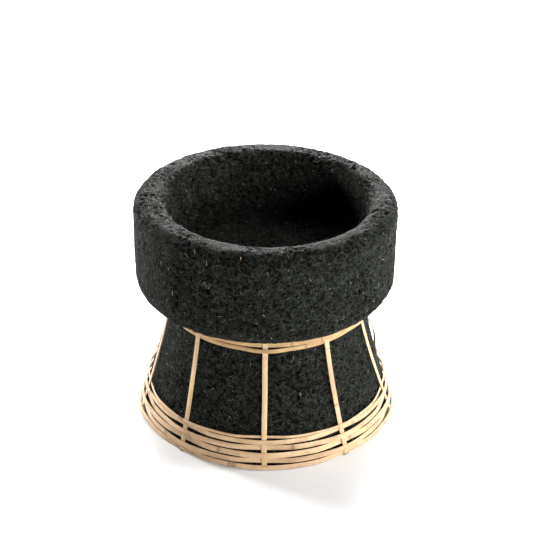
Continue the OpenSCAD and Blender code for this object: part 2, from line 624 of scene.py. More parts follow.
@dataclass(frozen=True)
class CaneFinish:
    """Natural split rattan with lengthwise grain, brown knots and darker cut ends."""

    name: str
    pale: Colour
    warm: Colour
    brown: Colour = (0.10, 0.045, 0.018, 1.0)
    strand: Colour = (0.30, 0.165, 0.075, 1.0)
    strand_width: float = 0.42 * MM
    strand_length: float = 34 * MM

    def material(self, groups: ShaderGroups) -> Material:
        """Builds the material.

        Args:
            groups: the shared shader groups.

        Returns:
            The material.
        """
        made = Surface(self.name, 0.5)
        tree = made.tree
        lay = tree.add("ShaderNodeUVMap", uv_map="lay").outputs[0]
        tone = made.attribute("tone")
        knot = made.attribute("knot")
        cut = made.attribute("cut")
        strands = made.place(groups.strands, {
            "Vector": lay, "Strand Width": self.strand_width, "Strand Length": self.strand_length,
            "Offset": tree.times(tone, 17.0)})
        patch = made.place(groups.tone, {"Vector": lay, "Patch Size": 14 * MM, "Softness": 0.2})
        warmth = tree.times(strands.outputs["Coarse"], tree.remap(tone, 0.0, 1.0, 0.4, 1.0))
        body = tree.mix_colour(warmth, self.pale, self.warm)
        streak = tree.times(tree.minus(1.0, strands.outputs["Fine"]), 0.62)
        streaked = tree.mix_colour(streak, body, self.strand)
        stain = tree.times(tree.remap(patch.outputs[0], 0.72, 1.0), 0.35)
        stained = tree.mix_colour(stain, streaked, self.brown)
        marks = tree.math("MAXIMUM", knot, cut)
        made.connect("Base Color", tree.mix_colour(marks, stained, self.brown))
        made.connect("Roughness", tree.remap(strands.outputs["Fine"], 0.0, 1.0, 0.62, 0.42))
        made.connect("Normal", made.bump(strands.outputs["Height"], 0.7, 0.16 * MM))
        return made.material


@dataclass(frozen=True)
class FloorFinish:
    """A plain pale floor with the faintest unevenness of tone."""

    colour: Colour = (0.86, 0.86, 0.86, 1.0)
    lighter: Colour = (0.88, 0.88, 0.88, 1.0)

    def material(self, groups: ShaderGroups) -> Material:
        """Builds the material.

        Args:
            groups: the shared shader groups.

        Returns:
            The material.
        """
        made = Surface("pale_floor", 0.9, 0.2)
        here = made.object_coordinates()
        patch = made.place(groups.tone, {"Vector": here, "Patch Size": 0.4, "Softness": 0.4})
        made.connect("Base Color", made.tree.mix_colour(patch.outputs[0], self.colour, self.lighter))
        return made.material


def lathe(rings: list[tuple[float, float, float]]) -> tuple[np.ndarray, np.ndarray]:
    """Turns an outline into triangles that are about equal-sided all over.

    Each ring has as many points as its own girth needs and is turned against the one before, and the strip
    between two rings is closed like a zip.

    Args:
        rings: radius, height and edge length of each ring in order, from the axis under the foot, round the
            outside, to the axis in the basin. The first and the last are single points.

    Returns:
        The points, and the triangles as rows of three indices.
    """
    points: list[tuple[float, float, float]] = [(0.0, 0.0, rings[0][1])]
    faces: list[tuple[int, int, int]] = []
    below = [0]
    below_angles = [0.0]
    for number, (radius, z, edge) in enumerate(rings[1:-1], start=1):
        count = max(8, round(2 * math.pi * radius / edge))
        turn = (number * GOLDEN_SHARE % 1.0) * 2 * math.pi / count
        angles = [turn + 2 * math.pi * i / count for i in range(count)]
        first = len(points)
        points += [(radius * math.cos(a), radius * math.sin(a), z) for a in angles]
        ring = list(range(first, first + count))
        if len(below) == 1:
            faces += [(below[0], ring[(i + 1) % count], ring[i]) for i in range(count)]
        else:
            faces += zip_rings(below, below_angles, ring, angles)
        below, below_angles = ring, angles
    points.append((0.0, 0.0, rings[-1][1]))
    count = len(below)
    faces += [(below[i], below[(i + 1) % count], len(points) - 1) for i in range(count)]
    return np.array(points), np.array(faces)


def zip_rings(low: list[int], low_angles: list[float], high: list[int], high_angles: list[float],
              ) -> list[tuple[int, int, int]]:
    """Closes the strip between two rings of points.

    Args:
        low: the first ring's point numbers, in order round the axis.
        low_angles: their angles, rising.
        high: the second ring's point numbers.
        high_angles: their angles, rising.

    Returns:
        The triangles.
    """
    faces = []
    i = 0
    j = 0
    while i < len(low) or j < len(high):
        next_low = low_angles[i + 1] if i + 1 < len(low) else low_angles[0] + 2 * math.pi
        next_high = high_angles[j + 1] if j + 1 < len(high) else high_angles[0] + 2 * math.pi
        a = low[i % len(low)]
        b = high[j % len(high)]
        if j >= len(high) or (i < len(low) and next_low <= next_high):
            faces.append((a, low[(i + 1) % len(low)], b))
            i += 1
        else:
            faces.append((a, high[(j + 1) % len(high)], b))
            j += 1
    return faces


def path_mesh(name: str, chains: list[np.ndarray], attributes: dict[str, np.ndarray]) -> Mesh:
    """Makes a mesh of open chains of edges, for a sweep to follow.

    Args:
        name: the mesh's name.
        chains: the points of each chain, in millimetres.
        attributes: point attributes over all the chains together, as numbers or as vectors.

    Returns:
        The mesh.
    """
    mesh = bpy.data.meshes.new(name + "_path")
    edges = []
    start = 0
    for chain in chains:
        edges += [(start + i, start + i + 1) for i in range(len(chain) - 1)]
        start += len(chain)
    mesh.from_pydata((np.concatenate(chains) * MM).tolist(), edges, [])
    write_attributes(mesh, attributes)
    return mesh


class ShapeGroups:
    """The geometry node groups: the stone's relief, the swept strip and the scattered fibres."""

    def __init__(self) -> None:
        """Builds every group once."""
        self.skin = self._skin()
        self.strip = self._strip()
        self.scatter = self._scatter()

    @staticmethod
    def _skin() -> Tree:
        """Moves a smooth stone's points along its normals, for lumps, grain and pits.

        The point attribute 'relief' (0 to 1) holds them back, and 'rise' says how far outwards, in metres,
        the stone may reach. Where there is less room than the headroom, the skin sinks by what is missing.
        """
        tree = Tree.group("stone_skin", TreeKind.GEOMETRY, {
            "Geometry": Socket.GEOMETRY,
            "Lump Height": 0.0008,
            "Lump Size": 0.012,
            "Grain Height": 0.0005,
            "Grain Size": 0.003,
            "Pit Depth": 0.0008,
            "Pit Spacing": 0.004,
            "Pit Share": 0.5,
            "Patch Size": 0.03,
            "Headroom": 0.0005,
            "Seed": 1.0,
            "Material": Socket.MATERIAL,
        })
        shift = tree.join(tree.given("Seed"))
        here = tree.vector("ADD", tree.add("GeometryNodeInputPosition").outputs[0], shift)
        normal = tree.add("GeometryNodeInputNormal").outputs[0]

        def cloud(size: str) -> NodeSocket:
            """Returns noise between about -0.5 and 0.5 at a named size."""
            seen = tree.noise(here, tree.over(1.0, tree.given(size)), roughness=0.55)
            return tree.minus(seen.outputs[0], 0.5)

        lumps = tree.times(cloud("Lump Size"), tree.given("Lump Height"))
        grain = tree.times(cloud("Grain Size"), tree.given("Grain Height"))
        patch = tree.remap(cloud("Patch Size"), -0.12, 0.12, 0.15, 1.0, smooth=True)
        scale = tree.over(1.0, tree.given("Pit Spacing"))
        bend = tree.vector("SUBTRACT", tree.noise(here, scale, detail=1.0).outputs[1], (0.5, 0.5, 0.5))
        bent = tree.vector("ADD", here, tree.scaled(bend, tree.given("Pit Spacing")))
        cell = tree.cells(bent, scale)
        chance = tree.add("FunctionNodeSeparateColor", {0: cell.outputs["Color"]}).outputs[0]
        opened = tree.math("LESS_THAN", chance, tree.given("Pit Share"))
        pit = tree.times(tree.remap(cell.outputs["Distance"], 0.1, 0.42, 1.0, 0.0, smooth=True), opened)
        hole = tree.times(pit, patch)
        raised = tree.plus(lumps, tree.times(grain, patch))
        total = tree.minus(raised, tree.times(hole, tree.given("Pit Depth")))
        rise = tree.named("rise")
        sink = tree.math("MAXIMUM", tree.minus(tree.given("Headroom"), rise), 0.0)
        sunk = tree.minus(tree.times(total, tree.named("relief")), sink)
        held = tree.math("MINIMUM", sunk, rise)
        # The cavity mask carries the skin's pits to the material, which paints shade into them.
        stored = tree.store(tree.given("Geometry"), "cavity", tree.times(hole, tree.named("relief")))
        # The crest mask carries the skin's raised crests to the material, which paints highlight onto them.
        stored = tree.store(stored, "crest", tree.remap(raised, 0.0, 0.0006, 0.0, 1.0))
        moved = tree.add("GeometryNodeSetPosition", {"Geometry": stored, "Offset": tree.scaled(normal, held)})
        tree.dress(moved.outputs[0])
        return tree

    @staticmethod
    def _strip() -> Tree:
        """Sweeps a flat, crowned strip along chains of edges.

        Their points carry 'out' (the strip's outer side), 'along' (metres from the start), 'thin' (share of
        the full thickness) and 'girth' (swelling).
        """
        tree = Tree.group("cane_strip", TreeKind.GEOMETRY, {
            "Geometry": Socket.GEOMETRY,
            "Width": 0.0036,
            "Thickness": 0.0009,
            "Sides": 18,
            "Squareness": 0.45,
            "Groove Depth": 0.00008,
            "Groove Width": 0.0007,
            "Seed": 1.0,
            "Material": Socket.MATERIAL,
        })
        line = tree.add("GeometryNodeMeshToCurve", {"Mesh": tree.given("Geometry")}).outputs[0]
        out = tree.named("out", "FLOAT_VECTOR")
        turned = tree.add("GeometryNodeSetCurveNormal", {"Curve": line, "Normal": out}, mode="FREE")
        ring = tree.add("GeometryNodeCurvePrimitiveCircle", {
            "Resolution": tree.given("Sides"), "Radius": 1.0})
        spot = tree.add("ShaderNodeSeparateXYZ", {0: tree.add("GeometryNodeInputPosition").outputs[0]})

        def squared(value: NodeSocket) -> NodeSocket:
            """Returns a circle's coordinate pushed out towards a rectangle's."""
            size = tree.math("POWER", tree.math("ABSOLUTE", value), tree.given("Squareness"))
            return tree.times(size, tree.math("SIGN", value))

        side = squared(spot.outputs[1])
        crown = tree.plus(tree.times(tree.times(side, side), -0.22), 1.0)
        across = tree.times(side, tree.times(tree.given("Width"), 0.5))
        crowned = tree.times(squared(spot.outputs[0]), crown)
        lift = tree.times(crowned, tree.times(tree.given("Thickness"), 0.5))
        shaped = tree.add("GeometryNodeSetPosition", {
            "Geometry": ring.outputs[0], "Position": tree.join(lift, across)}).outputs[0]
        shaped = tree.store(tree.store(shaped, "across", across), "lift", lift)
        swept = tree.add("GeometryNodeCurveToMesh", {
            "Curve": turned.outputs[0], "Profile Curve": shaped,
            "Scale": tree.named("girth"), "Fill Caps": True})
        lay = tree.join(tree.named("along"), tree.named("across"), tree.given("Seed"))
        groove_width = tree.given("Groove Width")
        stretched = tree.vector("DIVIDE", lay, tree.join(tree.times(groove_width, 22.0), groove_width, 1.0))
        groove = tree.minus(tree.noise(stretched, 1.0, detail=1.0).outputs[0], 0.5)
        thinned = tree.times(tree.named("lift"), tree.minus(tree.named("thin"), 1.0))
        push = tree.plus(thinned, tree.times(tree.times(groove, 2.0), tree.given("Groove Depth")))
        moved = tree.add("GeometryNodeSetPosition", {
            "Geometry": swept.outputs[0], "Offset": tree.scaled(out, push)}).outputs[0]
        tree.dress(tree.store(moved, "lay", lay, "FLOAT2", "CORNER"))
        return tree

    @staticmethod
    def _scatter() -> Tree:
        """Scatters short bent fibres, lying nearly flat, over faces by the point attribute 'fuzz'."""
        tree = Tree.group("fibre_scatter", TreeKind.GEOMETRY, {
            "Geometry": Socket.GEOMETRY,
            "Density": 20000.0,
            "Length": 0.002,
            "Thickness": 0.0002,
            "Bend": 0.3,
            "Lift Angle": 0.35,
            "Shortest": 0.4,
            "Longest": 1.6,
            "Seed": 1,
            "Material": Socket.MATERIAL,
        })
        seed = tree.given("Seed")
        length = tree.given("Length")
        spots = tree.add("GeometryNodeDistributePointsOnFaces", {
            "Mesh": tree.given("Geometry"), "Seed": seed,
            "Density": tree.times(tree.given("Density"), tree.named("fuzz"))}, distribute_method="RANDOM")
        half = tree.times(length, 0.5)
        bow = tree.add("GeometryNodeCurveQuadraticBezier", {
            "Resolution": 3, "Start": tree.join(tree.times(half, -1.0)),
            "Middle": tree.join(0.0, tree.times(length, tree.given("Bend"))), "End": tree.join(half)})
        section = tree.add("GeometryNodeCurvePrimitiveCircle", {
            "Resolution": 4, "Radius": tree.times(tree.given("Thickness"), 0.5)})
        hair = tree.add("GeometryNodeCurveToMesh", {
            "Curve": bow.outputs[0], "Profile Curve": section.outputs[0], "Fill Caps": True})
        turn = tree.add("FunctionNodeRandomValue", {
            0: (-1.0, -1.0, -math.pi), 1: (1.0, 1.0, math.pi), "Seed": seed}, data_type="FLOAT_VECTOR")
        lift = tree.given("Lift Angle")
        tilt = tree.vector("MULTIPLY", turn.outputs[0], tree.join(lift, lift, 1.0))
        facing = tree.add("FunctionNodeRotateRotation", {
            0: spots.outputs["Rotation"], 1: tree.add("FunctionNodeEulerToRotation", {0: tilt}).outputs[0]},
            rotation_space="LOCAL")
        span = tree.add("FunctionNodeRandomValue", {
            2: tree.given("Shortest"), 3: tree.given("Longest"), "Seed": tree.plus(seed, 7.0)},
            data_type="FLOAT").outputs[1]
        laid = tree.add("GeometryNodeInstanceOnPoints", {
            "Points": spots.outputs["Points"], "Instance": hair.outputs[0],
            "Rotation": facing.outputs[0], "Scale": tree.join(span, span, 1.0)}).outputs[0]
        tree.dress(laid)
        return tree


@dataclass
class StoneMortar:
    """The stone: bowl, basin and pedestal in one piece, turned by eye and a little uneven.

    Lumps, grain and pits each have a height or depth and a size. The room that they have to rise in fades
    over the rim band, between two depths under the rim.
    """

    wall: float = 21.0
    rim_outer_round: float = 8.5
    rim_inner_round: float = 7.0
    belly_round: float = 15.0
    underside: float = 93.0
    basin_depth: float = 38.0
    basin_round: float = 18.0
    basin_dish: float = 2.0
    foot_round: float = 2.0
    neck_round: float = 5.0
    bowl_shift: tuple[float, float] = (-2.0, 0.0)
    basin_shift: tuple[float, float] = (1.5, -1.0)
    bowl_edge: float = 1.16
    pedestal_edge: float = 1.5
    foot_edge: float = 9.0
    bowl_rise: float = 0.7
    rim_drop: float = -0.1
    pedestal_rise: float = 0.02
    bowl_radius: float = 90.0
    bowl_blend: float = 12.0
    basin_blend: float = 6.0
    pedestal_relief: float = 0.85
    pedestal_fuzz: float = 0.8
    smooth_foot: float = 3.0
    bare_foot: float = 6.0
    rim_band: tuple[float, float] = (7.0, 1.0)
    lumps: tuple[float, float] = (1.6, 13.0)
    grain: tuple[float, float] = (2.8, 3.4)
    pits: tuple[float, float] = (2.2, 3.6)
    pit_share: float = 0.55
    patch_size: float = 34.0
    headroom: float = 0.7
    flare: Flare = field(default_factory=Flare)
    finish: StoneFinish = field(default_factory=StoneFinish)

    def __post_init__(self) -> None:
        """Reads the stone's height from the CAD node."""
        self.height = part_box("mortar")[1][2] / MM
        self.basin_radius = self.bowl_radius - self.wall
        self.floor = self.height - self.basin_depth

    def outline(self) -> list[tuple[float, float]]:
        """Returns the outline from the axis under the foot, round the outside, to the axis in the basin."""
        foot = self.flare.radius(self.foot_round) - self.foot_round
        neck = self.flare.neck_radius
        belly = self.underside + self.belly_round
        basin = self.floor + self.basin_round
        lip = self.height - self.rim_outer_round
        inner_lip = self.height - self.rim_inner_round
        heights = np.linspace(self.foot_round + 1.0, self.flare.neck_height, 60)
        return [
            (0.0, 0.0),
            *arc(foot, self.foot_round, self.foot_round, -90, 0),
            *[(self.flare.radius(z), float(z)) for z in heights],
            *arc(neck + self.neck_round, self.underside - self.neck_round, self.neck_round, 180, 90),
            *arc(self.bowl_radius - self.belly_round, belly, self.belly_round, -90, 0),
            *arc(self.bowl_radius - self.rim_outer_round, lip, self.rim_outer_round, 0, 90),
            *arc(self.basin_radius + self.rim_inner_round, inner_lip, self.rim_inner_round, 90, 180),
            *arc(self.basin_radius - self.basin_round, basin, self.basin_round, 0, -90),
            (0.0, self.floor - self.basin_dish),
        ]

    def edge_at(self, radius: float, z: float) -> float:
        """Says how long the mesh's edges should be at a place on the outline.

        Args:
            radius: the place's distance from the axis.
            z: its height.

        Returns:
            The edge length.
        """
        if z < self.foot_round / 2:
            return min(self.foot_edge, self.pedestal_edge + 0.35 * (self.flare.foot_radius - radius))
        if z < self.flare.neck_height:
            return self.pedestal_edge
        return self.bowl_edge

    def rings(self) -> list[tuple[float, float, float]]:
        """Walks along the outline and returns radius, height and edge length of each ring."""
        corners = np.array(self.outline())
        lengths = np.concatenate([[0.0], np.cumsum(np.hypot(*np.diff(corners, axis=0).T))])
        row_share = math.sqrt(3) / 2
        places = [lengths[-1]]
        while places[-1] > 0.0:
            radius = float(np.interp(places[-1], lengths, corners[:, 0]))
            z = float(np.interp(places[-1], lengths, corners[:, 1]))
            places.append(places[-1] - row_share * self.edge_at(radius, z))
        places[-1] = 0.0
        found = []
        for place in reversed(places):
            radius = float(np.interp(place, lengths, corners[:, 0]))
            z = float(np.interp(place, lengths, corners[:, 1]))
            found.append((radius, z, self.edge_at(radius, z)))
        return found

    def skin(self) -> Mesh:
        """Makes the smooth skin, with the bowl and the basin a little off the axis."""
        points, faces = lathe(self.rings())
        z = points[:, 2]
        radius = np.hypot(points[:, 0], points[:, 1])
        above = np.clip((z - self.flare.neck_height) / self.bowl_blend, 0, 1)[:, None]
        points[:, :2] += above * np.array(self.bowl_shift)
        inside = np.clip((self.bowl_radius - self.rim_outer_round + 1.0 - radius) / self.basin_blend, 0, 1)
        inside = (inside * (z > self.floor - 3.0))[:, None]
        points[:, :2] += inside * np.array(self.basin_shift)
        mesh = bpy.data.meshes.new("mortar_skin")
        mesh.from_pydata((points * MM).tolist(), [], faces.tolist())
        relief = np.clip(z / self.smooth_foot, 0, 1)
        relief = relief * np.where(z < self.flare.neck_height, self.pedestal_relief, 1.0)
        rise = np.where(z < self.underside, self.pedestal_rise, self.bowl_rise) * MM
        rise = np.where(z < 1.0, 0.0, rise)
        band = [self.height - depth for depth in self.rim_band]
        rise = np.minimum(rise, np.interp(z, band, [self.bowl_rise, self.rim_drop]) * MM)
        fuzz = np.where(z < self.underside, self.pedestal_fuzz, 1.0) * (z > self.bare_foot)
        write_attributes(mesh, {"relief": relief, "rise": rise, "fuzz": fuzz})
        return mesh

    def build(self, shapes: ShapeGroups, groups: ShaderGroups) -> Object:
        """Builds the stone.

        Args:
            shapes: the geometry node groups.
            groups: the shader groups.

        Returns:
            The stone, in place of its CAD node.
        """
        stone = run_nodes(self.skin(), shapes.skin, {
            "Lump Height": self.lumps[0] * MM, "Lump Size": self.lumps[1] * MM,
            "Grain Height": self.grain[0] * MM, "Grain Size": self.grain[1] * MM,
            "Pit Depth": self.pits[0] * MM, "Pit Spacing": self.pits[1] * MM, "Pit Share": self.pit_share,
            "Patch Size": self.patch_size * MM, "Headroom": self.headroom * MM, "Seed": float(Seed.STONE),
            "Material": self.finish.material(groups)}, "mortar_stone")
        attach(stone, BODY)
        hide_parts("mortar")
        report(stone)
        return stone


@dataclass(frozen=True)
class FibreLot:
    """One lot of fibres: how many lie on a square metre, their size, and how they bend and lift."""

    name: str
    finish: FleckFinish
    density: float
    length: float
    thickness: float
    bend: float
    lift: float
    seed: int


@dataclass
class StoneFibres:
    """Pale fibres, chips and a few straw-coloured bits that are caught in the stone's surface."""

    pale: FleckFinish = FleckFinish("pale_fibre", (0.16, 0.17, 0.155, 1.0), (0.55, 0.56, 0.53, 1.0))
    grey: FleckFinish = FleckFinish("grey_fibre", (0.05, 0.055, 0.05, 1.0), (0.16, 0.17, 0.155, 1.0))
    straw: FleckFinish = FleckFinish("straw_chip", (0.30, 0.20, 0.08, 1.0), (0.62, 0.46, 0.24, 1.0))

    def build(self, stone: Object, shapes: ShapeGroups, groups: ShaderGroups) -> None:
        """Scatters the fibres over the finished stone.

        Args:
            stone: the finished stone.
            shapes: the geometry node groups.
            groups: the shader groups.
        """
        lots = (
            FibreLot("grey_fibres", self.grey, 24000.0, 1.8, 0.17, 0.10, 0.25, 5),
            FibreLot("pale_fibres", self.pale, 7000.0, 2.3, 0.15, 0.05, 0.22, 11),
            FibreLot("pale_chips", self.pale, 1200.0, 0.6, 0.36, 0.10, 0.25, 17),
            FibreLot("straw_chips", self.straw, 180.0, 1.3, 0.40, 0.12, 0.30, 29),
        )
        for lot in lots:
            fibres = run_nodes(stone.data.copy(), shapes.scatter, {
                "Density": lot.density, "Length": lot.length * MM, "Thickness": lot.thickness * MM,
                "Bend": lot.bend, "Lift Angle": lot.lift, "Shortest": 0.35, "Longest": 1.5, "Seed": lot.seed,
                "Material": lot.finish.material(groups)}, lot.name)
            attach(fibres, BODY)
            report(fibres)


class Side(Enum):
    """On which side of a rib a hoop passes."""

    OUTSIDE = 1
    BEHIND = -1


@dataclass(frozen=True)
class Hoop:
    """One hoop of the cage, as it was laid by hand."""

    node: str
    row: int
    joint: float
    level_play: float
    loose: float
    knots: tuple[float, ...]
    tone: float


@dataclass
class RattanCage:
    """The woven cage: upright ribs, neck hoops and the band round the foot.

    Angles are in degrees from the front, anticlockwise from above. A groove has a depth and a width, and a
    wisp a width and a thickness. A rib bows out between the two bow heights.
    """

    rib_tops: tuple[float, ...] = (-1.0, 34.5, 66.5, 106.0, 144.0, 180.0, 216.0, 249.0, 282.0, 318.0)
    rib_feet: tuple[float, ...] = (-0.5, 37.5, 78.0, 110.0, 145.0, 180.0, 215.0, 249.0, 283.0, 321.0)
    rib_top_height: float = 90.0
    stand_off: float = 1.6
    gap: float = 0.1
    cad_thickness: float = 0.9
    thickness: float = 0.84
    neck_hug: float = 0.7
    base_loose: float = 2.1
    hug: float = 1.1
    crossing_half_angle: float = 2.2
    ease_angle: float = 13.0
    overlap: float = 10.0
    scarf: float = 8.0
    rib_width: float = 3.6
    bow_heights: tuple[float, float] = (22.0, 56.0)
    rib_sway: float = 0.25
    rib_points: int = 76
    hoop_points: int = 372
    end_share: float = 0.42
    sides: int = 18
    squareness: float = 0.42
    groove: tuple[float, float] = (0.1, 0.8)
    knot_swell: float = 0.05
    cut_length: float = 0.7
    wisps: int = 18
    wisp_points: int = 12
    wisp_size: tuple[float, float] = (0.13, 0.1)
    rib_bow: dict[int, float] = field(default_factory=lambda: {3: 2.4, 6: 0.6})
    rib_tone: tuple[float, ...] = (0.15, 0.55, 0.35, 0.8, 0.3, 0.6, 0.4, 0.7, 0.5, 0.95)
    flare: Flare = field(default_factory=Flare)
    rib_finish: CaneFinish = CaneFinish("cane_rib", (0.78, 0.575, 0.28, 1.0), (0.62, 0.39, 0.30, 1.0))
    hoop_finish: CaneFinish = CaneFinish("cane_hoop", (0.75, 0.535, 0.305, 1.0), (0.58, 0.365, 0.22, 1.0))
    neck_finish: CaneFinish = CaneFinish("cane_neck_hoop", (0.56, 0.375, 0.16, 1.0), (0.42, 0.25, 0.105, 1.0))

    def hoops(self) -> list[Hoop]:
        """Returns the hoops from the top, with where each was joined and how evenly it was laid."""
        return [
            Hoop("neck_hoop_1", 0, 21.5, 0.10, 0.0, (-52.0, 14.0, 141.0), 0.5),
            Hoop("neck_hoop_2", 1, 150.0, 0.12, 0.0, (22.0, 97.0, 232.0), 0.7),
            Hoop("base_hoop_1", 2, -51.5, 0.12, 0.3, (-43.0, 61.0, 187.0), 0.4),
            Hoop("base_hoop_2", 3, 200.0, 0.14, 0.3, (44.0, 121.0, -71.0), 0.2),
            Hoop("base_hoop_3", 4, 116.0, 0.65, 0.4, (12.0, -64.0, 170.0), 0.55),
            Hoop("base_hoop_4", 5, 246.0, 0.28, 0.3, (41.0, -21.0, 215.0), 0.3),
            Hoop("base_hoop_5", 6, 171.0, 0.14, 0.3, (-50.0, 84.0, 139.0), 0.65),
            Hoop("base_hoop_6", 7, -25.5, 0.35, 0.3, (-14.0, 66.0, 258.0), 0.45),
        ]

    def side(self, row: int, rib: int) -> Side:
        """Returns the side on which a row's hoop passes a rib."""
        return Side.OUTSIDE if (row + rib) % 2 == 1 else Side.BEHIND

    def rib_angle(self, rib: int, z: float) -> float:
        """Returns a rib's angle from the front at a height: the ribs stand a little aslant."""
        lean = self.rib_tops[rib] - self.rib_feet[rib]
        return self.rib_feet[rib] + lean * z / self.rib_top_height

    def offset(self, row: int, degrees: float, z: float, free: float) -> float:
        """Returns how far a hoop's middle stands off the stone.

        Args:
            row: the hoop's row, counted from the top.
            degrees: the angle from the front.
            z: the height of the row.
            free: the stand-off between the ribs.

        Returns:
            The stand-off in millimetres.
        """
        angles = [self.rib_angle(rib, z) for rib in range(len(self.rib_tops))]
        turns = [abs((degrees - angle + 180) % 360 - 180) for angle in angles]
        rib = turns.index(min(turns))
        level = self.stand_off + self.side(row, rib).value * (self.gap + self.cad_thickness)
        away = (turns[rib] - self.crossing_half_angle) / self.ease_angle
        return free + (level - free) * (1 - ease(away))

    def outward(self, degrees: float, z: float) -> np.ndarray:
        """Finds the flare's outward normal.

        Args:
            degrees: the angle from the front.
            z: the height.

        Returns:
            The normal, one unit long.
        """
        a = math.radians(degrees - 90)
        normal = np.array([math.cos(a), math.sin(a), self.flare.slope(z)])
        return normal / np.linalg.norm(normal)

    def place(self, degrees: float, z: float, off: float) -> np.ndarray:
        """Finds a point over the stone.

        Args:
            degrees: the angle from the front.
            z: the height.
            off: the stand-off from the stone.

        Returns:
            The point.
        """
        a = math.radians(degrees - 90)
        radius = self.flare.radius(z) + off
        return np.array([radius * math.cos(a), radius * math.sin(a), z])

    @staticmethod
    def squared_to_path(points: np.ndarray, outs: np.ndarray) -> np.ndarray:
        """Turns the outward directions square to the path.

        Args:
            points: the path's points.
            outs: the outward direction at each of them.

        Returns:
            The directions, each one unit long.
        """
        tangents = np.gradient(points, axis=0)
        tangents /= np.linalg.norm(tangents, axis=1)[:, None]
        flat = outs - tangents * np.sum(outs * tangents, axis=1)[:, None]
        return flat / np.linalg.norm(flat, axis=1)[:, None]

    @staticmethod
    def lengths(points: np.ndarray) -> np.ndarray:
        """Returns the distance along the path at each point, in metres."""
        steps = np.linalg.norm(np.diff(points, axis=0), axis=1)
        return np.concatenate([[0.0], np.cumsum(steps)]) * MM

    def sweep(self, name: str, points: np.ndarray, outs: np.ndarray, thin: np.ndarray, knots: np.ndarray,
              tone: np.ndarray, width: float, shapes: ShapeGroups, material: Material, seed: int) -> Object:
        """Sweeps one strip of cane.

        Args:
            name: the piece's name.
            points: its middle line, in millimetres.
            outs: the outer side's direction at each point.
            thin: the share of the full thickness at each point.
            knots: how strongly a knot shows at each point, from 0 to 1.
            tone: the strip's tone at each point, from 0 to 1.
            width: its width in millimetres.
            shapes: the geometry node groups.
            material: its material.
            seed: a number of its own for the grooves and the grain.

        Returns:
            The strip.
        """
        along = self.lengths(points)
        ends = np.minimum(along, along[-1] - along)
        mesh = path_mesh(name, [points], {
            "out": self.squared_to_path(points, outs), "along": along, "thin": thin,
            "girth": 1.0 + self.knot_swell * knots, "knot": knots, "tone": tone,
            "cut": np.clip(1 - ends / (self.cut_length * MM), 0, 1)})
        return run_nodes(mesh, shapes.strip, {
            "Width": width * MM, "Thickness": self.thickness * MM, "Sides": self.sides,
            "Squareness": self.squareness, "Groove Depth": self.groove[0] * MM,
            "Groove Width": self.groove[1] * MM, "Seed": float(seed), "Material": material}, name)

    def build_rib(self, number: int, shapes: ShapeGroups, material: Material) -> None:
        """Builds one rib, in place of its CAD node.

        Args:
            number: the rib's number, counted from 1 at the front.
            shapes: the geometry node groups.
            material: its material.
        """
        node = f"rib_{number}"
        index = number - 1
        low, high = (corner[2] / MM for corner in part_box(node))
        sway = Wander(Seed.RIB_SWAY + index)
        bow = self.rib_bow.get(index, 0.0)
        heights = np.linspace(low, high, self.rib_points)
        bow_low, bow_high = self.bow_heights
        points = []
        outs = []
        for z in heights:
            share = min(max((z - bow_low) / (bow_high - bow_low), 0.0), 1.0)
            off = self.stand_off + bow * math.sin(math.pi * share) ** 2
            lean = self.rib_angle(index, float(z)) + self.rib_sway * sway.at(2.5 * z)
            points.append(self.place(lean, float(z), off))
            outs.append(self.outward(lean, float(z)))
        spots = Wander(Seed.RIB_KNOT + index, 3)
        knot_at = 50 + 22 * spots.at(0)
        knots = 0.55 * np.exp(-((heights - knot_at) / 0.7) ** 2) * (index % 3 != 0)
        tone = np.full(len(heights), self.rib_tone[index])
        rib = self.sweep(f"{node}_strip", np.array(points), np.array(outs), np.ones(len(heights)), knots,
                         tone, self.rib_width, shapes, material, Seed.RIB_GROOVES + index)
        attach(rib, BODY)
        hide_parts(node)
        report(rib)

    def build_hoop(self, hoop: Hoop, shapes: ShapeGroups, material: Material) -> None:
        """Builds one hoop as a strip whose thinned ends overlap, in place of its CAD node.

        Args:
            hoop: the hoop.
            shapes: the geometry node groups.
            material: its material.
        """
        low, high = (corner[2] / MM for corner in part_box(hoop.node))
        middle = (low + high) / 2
        free = self.neck_hug if hoop.node.startswith("neck") else self.base_loose
        tilt = math.atan(self.flare.slope(middle))
        width = (high - low - self.thickness * math.sin(tilt)) / math.cos(tilt)
        level = Wander(Seed.HOOP_LEVEL + hoop.row)
        play = Wander(Seed.HOOP_PLAY + hoop.row, 7)
        degrees = np.linspace(hoop.joint, hoop.joint + 360 + self.overlap, self.hoop_points)
        points = []
        outs = []
        thin = []
        for angle in degrees:
            start = (angle - degrees[0]) / self.scarf
            end = (degrees[-1] - angle) / self.scarf
            share = self.end_share + (1 - self.end_share) * ease(min(start, end))
            inner = -1 if start < end else 1
            z = middle + hoop.level_play * level.at(angle)
            slack = (1 + math.cos(math.radians(angle))) / 2
            loose = hoop.loose * 0.5 * (play.at(angle) - 1)
            drawn = self.hug + (free - self.hug) * slack if free > self.hug else free
            off = self.offset(hoop.row, float(angle), middle, drawn + loose)
            off += inner * (1 - share) * self.thickness / 2
            points.append(self.place(angle, z, off))
            outs.append(self.outward(angle, z))
            thin.append(share)
        turn = (degrees[:, None] - np.array(hoop.knots)[None, :] + 180) % 360 - 180
        knots = np.clip((0.8 * np.exp(-(turn / 0.65) ** 2)).sum(axis=1), 0, 1)
        shade = Wander(Seed.HOOP_SHADE + hoop.row, 6)
        tone = np.clip([hoop.tone + 0.4 * shade.at(angle) for angle in degrees], 0, 1)
        strip = self.sweep(f"{hoop.node}_strip", np.array(points), np.array(outs), np.array(thin), knots,
                           tone, width, shapes, material, Seed.HOOP_GROOVES + hoop.row)
        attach(strip, BODY)
        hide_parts(hoop.node)
        report(strip)

